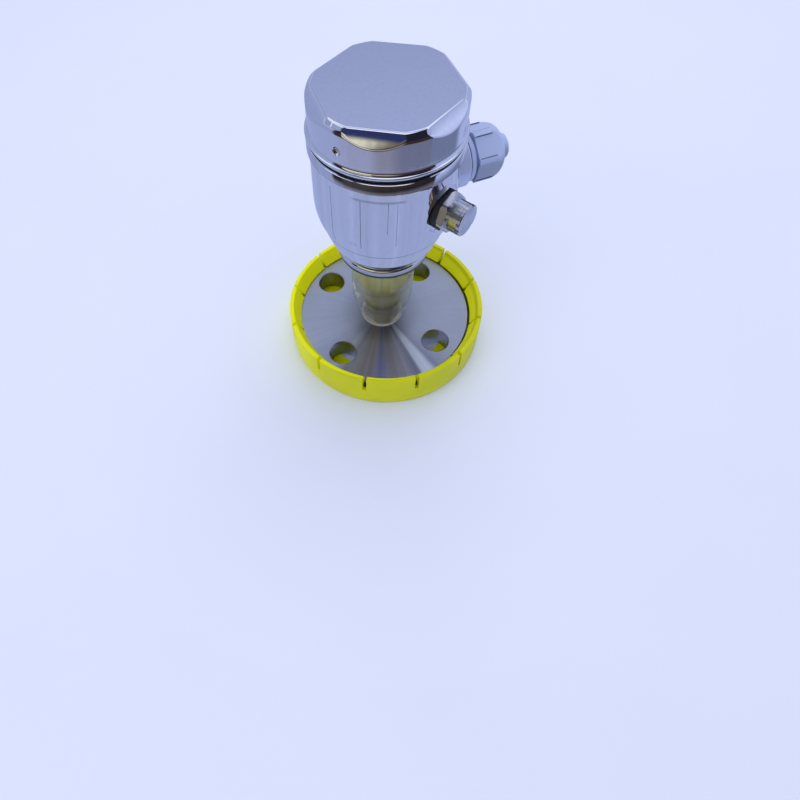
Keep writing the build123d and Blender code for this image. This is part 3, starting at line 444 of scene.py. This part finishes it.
def turned_steel():
    """Faced steel with rings around the axis, and the fan of light that such rings throw to the front
    painted into its colour, with painted streaks, glints, shade near the neck and shade in the holes.
    """
    made, t = material("turned_steel")
    place = t.place()
    angle, radius, z = t.turn(place)
    ring = t.noise_along(radius, 4.0, 4.0)
    grain = t.noise(place, 2.6, rough=0.7)
    haze = t.noise(place, 0.05)
    front = t.between(angle, *FAN_TURN, 6.0)

    colour = t.mix(t.spread(haze, 0.0, 1.0), (0.39, 0.415, 0.465), (0.43, 0.455, 0.51))
    colour = t.mix(t.step(grain, 0.5, 0.75), colour, (0.46, 0.48, 0.54))
    # Painted light: the fan, toned down towards the middle
    fan = t.ramp(angle, -180, 180, FAN)
    fan = t.paint(fan, t.step(radius, 44, 15), (0.75, 0.75, 0.75), 0.45)
    colour = t.mix(1.0, colour, fan, "MULTIPLY")

    # Painted reflection streaks, strongest to the front
    streak = t.spread(t.noise_along(angle, 0.2, 3.0), -0.13, 0.13)
    shade = t.total(1.0, t.times(streak, t.remap(front, 0, 1, 0.2, 1)))
    # Painted shade: darker close to the neck
    centre_shade = t.remap(radius, 12, 26, 0.62, 1.0)
    # Painted shade inside the holes
    hole = t.times(
        t.step(z, FLANGE_TOP - 0.3, FLANGE_TOP - 1.2),
        t.step(radius, FLANGE_R - 2.0, FLANGE_R - 3.0),
    )
    colour = t.dim(colour, t.times(shade, centre_shade, t.remap(hole, 0, 1, 1.0, 0.75)))
    # Painted highlight: bright specks to the front
    glint_specks = t.times(t.step(grain, 0.52, 0.66), front, t.between(radius, 22, 42, 8.0))
    colour = t.paint(colour, glint_specks, (0.60, 0.60, 0.62), 0.55)
    height = t.total(ring, t.times(grain, 0.35))
    rough = t.spread(grain, 0.30, 0.44)
    t.shader(Base_Color=colour, Metallic=1.0, Roughness=rough, Normal=t.bump(height, 0.02, 0.5))
    return made


def satin_steel(name, tone):
    made, t = material(name)
    place = t.place()
    ring = t.noise(place, 1.2, 3, 0.6, (0.05, 0.05, 4))
    dark = tuple(0.82 * c for c in tone)
    colour = t.mix(t.step(t.noise(place, 0.15), 0.35, 0.7), tone, dark)
    rough = t.spread(ring, 0.16, 0.28)
    t.shader(Base_Color=colour, Metallic=1.0, Roughness=rough, Normal=t.bump(ring, 0.015, 0.5))
    return made


def plain_plastic(name, tone, rough):
    made, t = material(name)
    place = t.place()
    fine = t.noise(place, 3.0, rough=0.6)
    dark = tuple(0.88 * c for c in tone)
    colour = t.mix(t.step(t.noise(place, 0.12), 0.35, 0.75), tone, dark)
    roughness = t.spread(fine, rough - 0.05, rough + 0.07)
    t.shader(Base_Color=colour, Roughness=roughness, IOR=1.5, Normal=t.bump(fine, 0.02, 0.6))
    return made


def yellow_plastic():
    """Soft yellow plastic, a little scuffed, with painted light making the inside of the wall brighter."""
    made, t = material("yellow_plastic")
    place = t.place()
    _, radius, _ = t.turn(place)
    fine = t.noise(place, 1.6, 4, 0.6)
    scuff = t.noise(place, 0.6, 5, 0.7, (1, 1, 3))
    colour = t.mix(t.step(t.noise(place, 0.05), 0.35, 0.7), (0.70, 0.70, 0.006), (0.62, 0.64, 0.005))
    colour = t.paint(colour, t.step(scuff, 0.62, 0.78), (0.74, 0.74, 0.06))
    # Painted light: the inside of the wall brighter, as if lit through the plastic
    inner = t.step(radius, CAP_INSIDE_R, CAP_INSIDE_R - 0.7)
    colour = t.paint(colour, inner, (0.93, 0.95, 0.002), 0.9)
    t.shader(
        Base_Color=colour,
        Roughness=t.spread(fine, 0.40, 0.54),
        IOR=1.28,
        Subsurface_Weight=0.18,
        Subsurface_Scale=0.004,
        Subsurface_Radius=(1.0, 0.9, 0.15),
        Normal=t.bump(fine, 0.05, 0.6),
    )
    return made


def neck_steel():
    """Turned neck with a painted warm reflection of the yellow cap around it, painted shade in its grooves
    and painted highlight bands.
    """
    made, t = material("neck_steel")
    place = t.place()
    z = t.split(place)[2]
    ring = t.noise(place, 1.0, 3, 0.6, (0.03, 0.03, 3))
    streak = t.noise(place, 0.35, 4, 0.6, (1, 1, 0.08))
    groove_shade = t.largest(*(t.between(z, *span) for span in NECK_GROOVE_SHADES))
    band_highlight = t.largest(*(t.between(z, *span) for span in NECK_HIGHLIGHT_BANDS))
    # Painted reflection: warm streaks from the yellow cap
    colour = t.mix(t.step(streak, 0.42, 0.62), (0.72, 0.68, 0.52), (0.54, 0.49, 0.30))
    # Painted shade in the grooves and painted highlight on the bands
    colour = t.paint(colour, groove_shade, (0.10, 0.085, 0.05), 0.70)
    colour = t.paint(colour, band_highlight, (0.86, 0.84, 0.70), 0.6)
    rough = t.spread(ring, 0.10, 0.20)
    t.shader(Base_Color=colour, Metallic=0.72, Roughness=rough, Normal=t.bump(ring, 0.02, 0.6))
    return made


def clear_film():
    """Clear film with a pale cut edge at its foot, partly painted highlight, and painted highlights as pale
    rims around the bubbles.
    """
    made, t = material("clear_film")
    place = t.place()
    fold = t.noise(place, 0.16, stretch=(1, 1, 0.5))
    fine = t.noise(place, 1.2, rough=0.6)
    # Pale cut edge of the film, with painted highlight
    edge = t.step(t.split(place)[2], EDGE_TOP, EDGE_TOP - 0.5)
    for turn, level, size in BUBBLES:
        a = math.radians(turn)
        centre = (SLEEVE_R * math.cos(a), SLEEVE_R * math.sin(a), level)
        far = t.vector("LENGTH", t.vector("SUBTRACT", place, centre))
        # Painted highlight: pale rim around each bubble
        bubble_highlight = t.between(far, 0.55 * size, 0.85 * size, 0.25)
        edge = t.largest(edge, t.times(bubble_highlight, 0.75))
    t.shader(
        Base_Color=t.mix(edge, (0.93, 0.93, 0.84), (0.98, 0.98, 0.95)),
        Roughness=t.spread(fine, 0.03, 0.09),
        IOR=1.4,
        Transmission_Weight=t.remap(edge, 0, 1, 1.0, 0.25),
        Alpha=t.remap(edge, 0, 1, 0.42, 0.9),
        Normal=t.bump(t.total(fold, t.times(fine, 0.06)), 0.5, 0.7),
    )
    return made


def gland_nut_plastic():
    """Pale plastic with a dark line of painted shade and a bright line of painted highlight on each side of
    every corner, and painted shade that makes it darker underneath.
    """
    made, t = material("gland_nut_plastic")
    place = t.place()
    fine = t.noise(place, 3.0, rough=0.6)
    x, y, z = t.split(place)
    height = t.less(z, PORT_HEIGHT)
    turned = t.less(t.angle(height, y), NUT_TURN - 360 - SIXTH / 2)
    corner = t.math("ABSOLUTE", t.less(t.math("MODULO", turned, SIXTH), SIXTH / 2))
    hexagon = t.between(x, NUT_START + 0.6, NUT_SHOULDER, 0.2)
    # Painted shade line and painted highlight beside each corner
    line = t.times(t.between(corner, 6.2, 7.6, 0.3), hexagon)
    glint = t.times(t.between(corner, 7.7, 8.8, 0.3), hexagon)
    # Painted shade: darker on the lower half
    colour = t.paint((0.45, 0.53, 0.76), t.step(height, 6.0, 0.5), (0.22, 0.25, 0.36), 0.75)
    colour = t.paint(colour, line, (0.10, 0.12, 0.22))
    colour = t.paint(colour, glint, (0.60, 0.68, 0.90), 0.7)
    rough = t.spread(fine, 0.37, 0.49)
    t.shader(Base_Color=colour, Roughness=rough, IOR=1.5, Normal=t.bump(fine, 0.02, 0.6))
    return made


# Plain metals by colour, and plain plastics by colour and roughness
METALS = {
    "satin_steel": (0.56, 0.555, 0.53),
    "screw_steel": (0.62, 0.63, 0.65),
    "thin_steel": (0.68, 0.68, 0.69),
    "vent_steel": (0.70, 0.71, 0.75),
    "terminal_metal": (0.72, 0.58, 0.28),
}
PLASTICS = {
    "black_rubber": ((0.018, 0.018, 0.020), 0.5),
    "grey_rubber": ((0.10, 0.10, 0.11), 0.55),
    "gland_plastic": ((0.45, 0.53, 0.76), 0.42),
    "core_plastic": ((0.50, 0.49, 0.12), 0.4),
    "membrane": ((0.82, 0.82, 0.80), 0.7),
    "carrier_plastic": ((0.02, 0.021, 0.024), 0.5),
    "board_green": ((0.010, 0.085, 0.030), 0.35),
    "terminal_plastic": ((0.012, 0.11, 0.055), 0.45),
    "key_plastic": ((0.46, 0.47, 0.48), 0.45),
    "switch_plastic": ((0.42, 0.012, 0.008), 0.4),
    "slider_plastic": ((0.80, 0.80, 0.78), 0.4),
    "lamp_plastic": ((0.03, 0.30, 0.03), 0.12),
    "plug_plastic": ((0.015, 0.015, 0.017), 0.45),
    "cell_ceramic": ((0.70, 0.68, 0.62), 0.35),
}
LOOKS = {
    "polished_steel": polished_steel(),
    "turned_steel": turned_steel(),
    "clear_plastic": clear_film(),
    "yellow_plastic": yellow_plastic(),
}
LOOKS.update({name: satin_steel(name, tone) for name, tone in METALS.items()})
LOOKS.update({name: plain_plastic(name, *look) for name, look in PLASTICS.items()})
# Pieces that have a look of their own in place of their slot's
OWN_LOOKS = {
    "housing": housing_steel(),
    "swivel_collar": collar_steel(),
    "neck": neck_steel(),
    "gland_nut": gland_nut_plastic(),
}
slot_of = {s["node"]: s["material_slot"] for s in frame["record"]["subparts"]}
for name, node in nodes.items():
    node.data.materials.clear()
    node.data.materials.append(OWN_LOOKS.get(name, LOOKS[slot_of[name]]))


def new_piece(name, body, slot, mesh):
    piece = bpy.data.objects.new(name, mesh)
    bpy.context.scene.collection.objects.link(piece)
    mesh.materials.append(LOOKS[slot])
    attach(piece, body)
    return piece


def ring_points(radii, heights, theta):
    """Points (rows, columns, 3) on circles around Z, one row for each radius and height."""
    radii, heights, theta = np.broadcast_arrays(radii, heights, theta)
    return np.stack([radii * np.cos(theta), radii * np.sin(theta), heights], axis=-1)


def shade_smooth(mesh):
    mesh.polygons.foreach_set("use_smooth", [True] * len(mesh.polygons))


def grid_mesh(name, points):
    """Smooth mesh of rings: points is (rows, columns, 3) in millimetres, closed around the columns."""
    rows, columns = points.shape[:2]
    index = np.arange(rows * columns).reshape(rows, columns)
    after = np.roll(index, -1, axis=1)
    quads = np.stack([index[:-1], after[:-1], after[1:], index[1:]], axis=-1).reshape(-1, 4)
    mesh = bpy.data.meshes.new(name)
    mesh.from_pydata((points.reshape(-1, 3) * MM).tolist(), [], quads.tolist())
    shade_smooth(mesh)
    mesh.update()
    return mesh


def round_max(a, b, r):
    """Larger of two distances, with the edge between them rounded."""
    return np.minimum(np.maximum(a, b), -r) + np.hypot(np.maximum(a + r, 0), np.maximum(b + r, 0))


def cover_distance(p):
    """Below 0 inside the cover's outer shape above its bead, above 0 outside."""
    x, y, z = p[..., 0], p[..., 1], p[..., 2]
    side = np.hypot(x, y) - COVER_SIDE_R
    chamfer = (side + COVER_CHAMFER + z - COVER_TOP) / math.sqrt(2)
    shape = round_max(side, chamfer, CORNER_ROUND)
    level = COVER_APOTHEM * math.cos(FLAT_SLOPE) + COVER_TOP * math.sin(FLAT_SLOPE)
    along = (COVER_TOP - COVER_REACH / 2 - z) / math.cos(FLAT_SLOPE)
    bulge = FLAT_BULGE * (along**2 - FLAT_HALF**2)
    for k in range(6):
        a = math.radians(COVER_TURN + SIXTH * k)
        out = x * math.cos(a) + y * math.sin(a)
        flat = out * math.cos(FLAT_SLOPE) + z * math.sin(FLAT_SLOPE) - level
        shape = round_max(shape, flat + bulge, FLAT_ROUND)
    shape = round_max(shape, z - COVER_TOP, TOP_ROUND)

    # Spanner dimple: a drilled cone that widens outwards
    a = math.radians(SPANNER_ANGLE)
    out = x * math.cos(a) + y * math.sin(a)
    across = np.hypot(-x * math.sin(a) + y * math.cos(a), z - SPANNER_Z)
    depth = out - (COVER_SIDE_R - SPANNER_DEEP)
    hole = across - np.interp(depth, (0, 1.2, 4.5), (0.0, 1.5, 3.4))
    return np.where(out > SPANNER_FROM, np.maximum(shape, -hole), shape)


def cover_columns():
    """Angles of the cover's columns in degrees, closer together around the spanner dimple."""
    base = np.arange(0, 360, 1.2)
    near = np.abs((base - SPANNER_ANGLE + 180) % 360 - 180) < SPANNER_SPAN
    fine = SPANNER_ANGLE % 360 + np.arange(-SPANNER_SPAN, SPANNER_SPAN + 0.01, 0.25)
    return np.sort(np.concatenate([base[~near], fine % 360]))


def cover_crown(theta):
    """Points of the outer shape, found along rays from the middle by halving."""
    centre = np.array([0, 0, 149.6])
    bands = ((-2, 12, 36), (12, 19, 36), (19, 28.5, 76), (28.5, 50, 10))
    steps = [np.linspace(low, high, count, endpoint=False) for low, high, count in bands]
    rise = np.radians(np.concatenate([*steps, np.linspace(50, 89.5, 8)]))[:, None]
    ray = ring_points(np.cos(rise), np.sin(rise), theta)
    near = np.full(ray.shape[:2], 4.0)
    far = np.full(ray.shape[:2], 60.0)
    for _ in range(40):
        middle = (near + far) / 2
        inside = cover_distance(centre + ray * middle[..., None]) < 0
        near = np.where(inside, middle, near)
        far = np.where(inside, far, middle)
    return centre + ray * near[..., None]


def cover_skirt(theta):
    """Points of the bead, the underside, the threaded skirt and the inside."""
    profile = []
    for a in np.linspace(0, math.pi / 2, 7):
        profile.append((COVER_SIDE_R + BEAD_OUT * (1 - math.cos(a)), SIDE_FOOT - BEAD_DROP * math.sin(a)))
    for inwards, up in ((0.0, 1.4), (0.0, 0.7), (0.15, 0.3), (0.5, 0.1), (0.9, 0.0)):
        profile.append((BEAD_R - inwards, COVER_BASE + up))
    profile.append((THREAD_R, COVER_BASE))
    first = len(profile)
    profile += [(THREAD_R, z) for z in np.arange(*THREAD_Z, -0.25)]
    thread = slice(first, len(profile))
    profile += [(THREAD_R - 0.35, SKIRT_FOOT + 0.4), (THREAD_R - 0.85, SKIRT_FOOT), (BORE_R, SKIRT_FOOT)]
    profile += [(BORE_R, 152.0), (BORE_R - 3.0, CEILING), (0.5, CEILING)]
    radii, heights = np.array(profile).T[..., None]
    radii = radii * np.ones_like(theta)
    turns = heights[thread] / THREAD_PITCH - theta / (2 * math.pi)
    radii[thread] -= THREAD_DEEP * np.abs(2 * (turns % 1) - 1)
    return ring_points(radii, heights, theta)


def make_cover():
    theta = np.radians(cover_columns())
    points = np.concatenate([cover_crown(theta)[::-1], cover_skirt(theta)])
    mesh = grid_mesh("cover_shell", points)
    build = bmesh.new()
    build.from_mesh(mesh)
    corners = list(build.verts)
    build.faces.new(corners[: len(theta)])
    build.faces.new(corners[: -len(theta) - 1 : -1])
    bmesh.ops.recalc_face_normals(build, faces=build.faces)
    build.to_mesh(mesh)
    build.free()
    shade_smooth(mesh)
    mesh.set_sharp_from_angle(angle=math.radians(50))
    piece = new_piece("cover_shell", "cover", "polished_steel", mesh)
    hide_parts("cover")


def smooth_curve(knots, count):
    """Points on a smooth curve through the knots (r, z)."""
    knots = np.array(knots)
    step = np.linalg.norm(np.diff(knots, axis=0), axis=1)
    at = np.concatenate([[0], np.cumsum(step)])
    slope = np.gradient(knots, at, axis=0)
    slope[-1] = (knots[-1] - knots[-2]) / step[-1]
    where = np.linspace(0, at[-1], count)
    k = np.clip(np.searchsorted(at, where) - 1, 0, len(step) - 1)
    u = ((where - at[k]) / step[k])[:, None]
    h = step[k][:, None]
    return (
        knots[k] * (1 - u) ** 2 * (1 + 2 * u)
        + slope[k] * h * u * (1 - u) ** 2
        + knots[k + 1] * u**2 * (3 - 2 * u)
        - slope[k + 1] * h * u**2 * (1 - u)
    )


def make_sleeve():
    """Shrunk clear sleeve with soft folds, two bubbles and a thick cut edge at its foot."""
    theta = np.radians(np.arange(0, 360, 2.0))
    r, z = smooth_curve(SLEEVE, 90).T[..., None] * np.ones_like(theta)
    for depth, level, size, count, lean, start in FOLDS:
        wave = 0.5 + 0.5 * np.sin(count * theta + lean * z + start)
        r -= depth * np.exp(-(((z - level) / size) ** 2)) * wave * (z > FOLDS_FROM)
    for angle, level, size in BUBBLES:
        across = ((theta - math.radians(angle) + math.pi) % (2 * math.pi) - math.pi) * SLEEVE_R
        r += BUBBLE_RISE * np.exp(-((np.hypot(across, z - level) / size) ** 4))
    edge_r, edge_z = np.array(SLEEVE_EDGE).T[..., None]
    edge = ring_points(edge_r, edge_z, theta)
    outer = ring_points(r, z, theta)
    inner = ring_points(r - SLEEVE_WALL, z, theta)
    points = np.concatenate([edge, outer[3:], inner[::-1], edge[:1]])
    mesh = grid_mesh("clear_sleeve_film", points)
    piece = new_piece("clear_sleeve_film", "process_connection", "clear_plastic", mesh)
    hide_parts("clear_sleeve")


make_cover()
make_sleeve()

FLOOR_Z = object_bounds()[0][2]


def floor_material(name, one, other):
    made, t = material(name)
    place = t.place()
    fine = t.noise(place, 0.8, 4, 0.6)
    colour = t.mix(t.noise(place, 0.01), one, other)
    t.shader(Base_Color=colour, Roughness=0.7, Normal=t.bump(fine, 0.05, 0.3))
    return made


def floor_disc(name, outer, look):
    theta = np.linspace(0, 2 * math.pi, 96, endpoint=False)
    mesh = grid_mesh(name, ring_points(np.array([[outer], [0.001]]), FLOOR_Z / MM, theta))
    mesh.materials.append(look)
    disc = bpy.data.objects.new(name, mesh)
    bpy.context.scene.collection.objects.link(disc)
    return disc


# Floor: a plain one for the camera, and a small one that only shows in the polished surfaces
floor = floor_disc("floor", 6000, floor_material("floor_plain", (0.80, 0.83, 0.92), (0.83, 0.86, 0.95)))
floor.visible_glossy = False
floor.visible_transmission = False
sheet_look = floor_material("floor_sheet", (0.76, 0.80, 0.92), (0.79, 0.83, 0.95))
sheet = floor_disc("floor_reflected", 215, sheet_look)
sheet.visible_camera = False
sheet.visible_diffuse = False
sheet.visible_shadow = False

# Colours of the surroundings by rise above the horizon in degrees, from below to above
ROOM = [
    (-90, (0.44, 0.50, 0.80)),
    (-40, (0.37, 0.43, 0.72)),
    (-15, (0.34, 0.40, 0.66)),
    (6, (0.35, 0.41, 0.68)),
    (16, (0.52, 0.58, 0.88)),
    (24, (0.33, 0.38, 0.63)),
    (28, (0.31, 0.36, 0.60)),
    (37, (0.37, 0.43, 0.70)),
    (43, (0.40, 0.46, 0.74)),
    (47, (0.90, 0.95, 1.1)),
    (55, (0.85, 0.90, 1.1)),
    (62, (0.48, 0.55, 0.84)),
    (90, (0.58, 0.65, 0.94)),
]
HIGH_FRONT = [
    (42, (0.026, 0.036, 0.13)),
    (66, (0.026, 0.036, 0.13)),
    (70, (1.2, 1.2, 1.25)),
    (90, (1.1, 1.1, 1.2)),
]
BROWN_FRONT = [
    (-70, (0.40, 0.45, 0.72)),
    (-42, (0.27, 0.28, 0.40)),
    (-34, (0.22, 0.22, 0.31)),
    (-22, (0.14, 0.125, 0.16)),
    (-17, (0.03, 0.022, 0.028)),
    (-5, (0.05, 0.035, 0.03)),
    (-3, (0.50, 0.44, 0.33)),
    (3, (0.62, 0.57, 0.42)),
    (8, (0.50, 0.46, 0.38)),
    (12, (0.10, 0.08, 0.08)),
    (30, (0.05, 0.04, 0.05)),
    (34, (0.12, 0.11, 0.13)),
    (36, (0.20, 0.16, 0.12)),
    (39, (0.16, 0.13, 0.11)),
    *HIGH_FRONT,
]
CREAM_WINDOW = [
    (-70, (0.42, 0.48, 0.78)),
    (-40, (0.33, 0.36, 0.56)),
    (-24, (0.22, 0.23, 0.33)),
    (-17, (0.05, 0.045, 0.05)),
    (-6, (0.06, 0.05, 0.04)),
    (-3, (0.70, 0.66, 0.50)),
    (16, (0.90, 0.88, 0.78)),
    (18, (0.20, 0.18, 0.16)),
    (29, (0.20, 0.18, 0.18)),
    (32, (0.84, 0.84, 0.66)),
    (38, (0.80, 0.79, 0.60)),
    *HIGH_FRONT,
]
HIGH_SIDE = [
    (-15, (0.02, 0.016, 0.02)),
    (0, (0.05, 0.03, 0.03)),
    (18, (0.015, 0.015, 0.03)),
    (66, (0.015, 0.015, 0.03)),
    (70, (1.1, 1.1, 1.15)),
    (90, (1.1, 1.1, 1.2)),
]
DARK_LEFT = [
    (-70, (0.42, 0.48, 0.78)),
    (-42, (0.35, 0.39, 0.62)),
    (-24, (0.26, 0.28, 0.42)),
    *HIGH_SIDE,
]
DARK_RIGHT = [
    (-70, (0.38, 0.42, 0.68)),
    (-42, (0.17, 0.19, 0.31)),
    (-22, (0.13, 0.12, 0.17)),
    *HIGH_SIDE,
]
PLAIN_LIGHT = (0.62, 0.66, 0.84, 1)


def surroundings():
    """Pale lavender room, dark to the front with a cream band. Camera and dull surfaces see plain light."""
    world = bpy.data.worlds.new("studio")
    world.use_nodes = True
    bpy.context.scene.world = world
    t = Tree(world.node_tree)
    direction = t.node("ShaderNodeTexCoord").outputs["Generated"]
    rise = t.math("DEGREES", t.math("ARCSINE", t.split(direction)[2]))
    a = math.radians(FRONT)
    ahead = t.vector("DOT_PRODUCT", direction, (math.cos(a), math.sin(a), 0))
    aside = t.vector("DOT_PRODUCT", direction, (-math.sin(a), math.cos(a), 0))
    turn = t.angle(aside, ahead)
    room, front, window, dark_left, dark_right = (
        t.ramp(rise, -90, 90, stops) for stops in (ROOM, BROWN_FRONT, CREAM_WINDOW, DARK_LEFT, DARK_RIGHT)
    )
    room = t.dim(room, t.remap(aside, -1, 1, 0.88, 1.15))
    slate = t.times(t.between(turn, 60, 122, 8.0), t.between(rise, -50, -20, 6.0))
    room = t.mix(slate, room, (0.165, 0.20, 0.35))

    # From left to right, each with its own edge. The brown front's edge is soft below and crisp above
    high = t.step(rise, -12, -4)
    soft_edge = t.times(t.step(turn, -28, -6), t.less(1.0, high))
    crisp_edge = t.times(t.step(turn, -20.5, -17), high)
    lean = t.times(t.step(rise, 38, 50), 30.0)
    colour = t.mix(t.step(turn, -75, -69), room, dark_left)
    colour = t.mix(t.step(turn, -59, -55), colour, window)
    colour = t.mix(t.total(soft_edge, crisp_edge), colour, front)
    colour = t.mix(t.step(turn, 0, 26), colour, dark_right)
    colour = t.mix(t.step(t.less(turn, lean), 66, 69), colour, room)

    background = t.node("ShaderNodeBackground")
    t.put(colour, background.inputs[0])
    plain = t.node("ShaderNodeBackground")
    t.put(PLAIN_LIGHT, plain.inputs[0])
    path = t.node("ShaderNodeLightPath")
    mixer = t.node("ShaderNodeMixShader")
    t.link(t.largest(path.outputs["Is Camera Ray"], path.outputs["Is Diffuse Ray"]), mixer.inputs[0])
    t.link(background.outputs[0], mixer.inputs[1])
    t.link(plain.outputs[0], mixer.inputs[2])
    out = t.node("ShaderNodeOutputWorld")
    t.link(mixer.outputs[0], out.inputs[0])


def area_light(name, place, side, power):
    """Square light aimed at the part, not seen in the polished surfaces."""
    data = bpy.data.lights.new(name, "AREA")
    data.size = side
    data.energy = power
    light = bpy.data.objects.new(name, data)
    bpy.context.scene.collection.objects.link(light)
    light.location = place
    aim = Vector((0, 0, 0.05))
    light.rotation_euler = (aim - Vector(place)).to_track_quat("-Z", "Y").to_euler()
    light.visible_glossy = False


surroundings()
area_light("key_light", (0.35, 0.5, 1.1), 0.9, 4)
area_light("fill_light", (-0.8, -0.3, 0.9), 0.8, 2)

# Camera solved from the photograph: place in metres, and the directions of its right and its view
CAMERA_PLACE = (-0.09881, -0.23062, 0.32497)
CAMERA_RIGHT = (0.9363, -0.3502, -0.0261)
CAMERA_FORWARD = (0.1585, 0.4878, -0.8584)
camera_data = bpy.data.cameras.new("camera")
camera_data.sensor_width = 36
camera_data.lens = 28.34
camera_data.shift_x = 0.0625
camera_data.clip_start = 0.01
camera = bpy.data.objects.new("camera", camera_data)
bpy.context.scene.collection.objects.link(camera)
right = Vector(CAMERA_RIGHT).normalized()
forward = Vector(CAMERA_FORWARD).normalized()
up = right.cross(forward).normalized()
facing = Matrix((right, up, -forward)).transposed()
camera.matrix_world = Matrix.Translation(CAMERA_PLACE) @ facing.to_4x4()
bpy.context.scene.camera = camera
bpy.context.scene.view_settings.view_transform = "Standard"
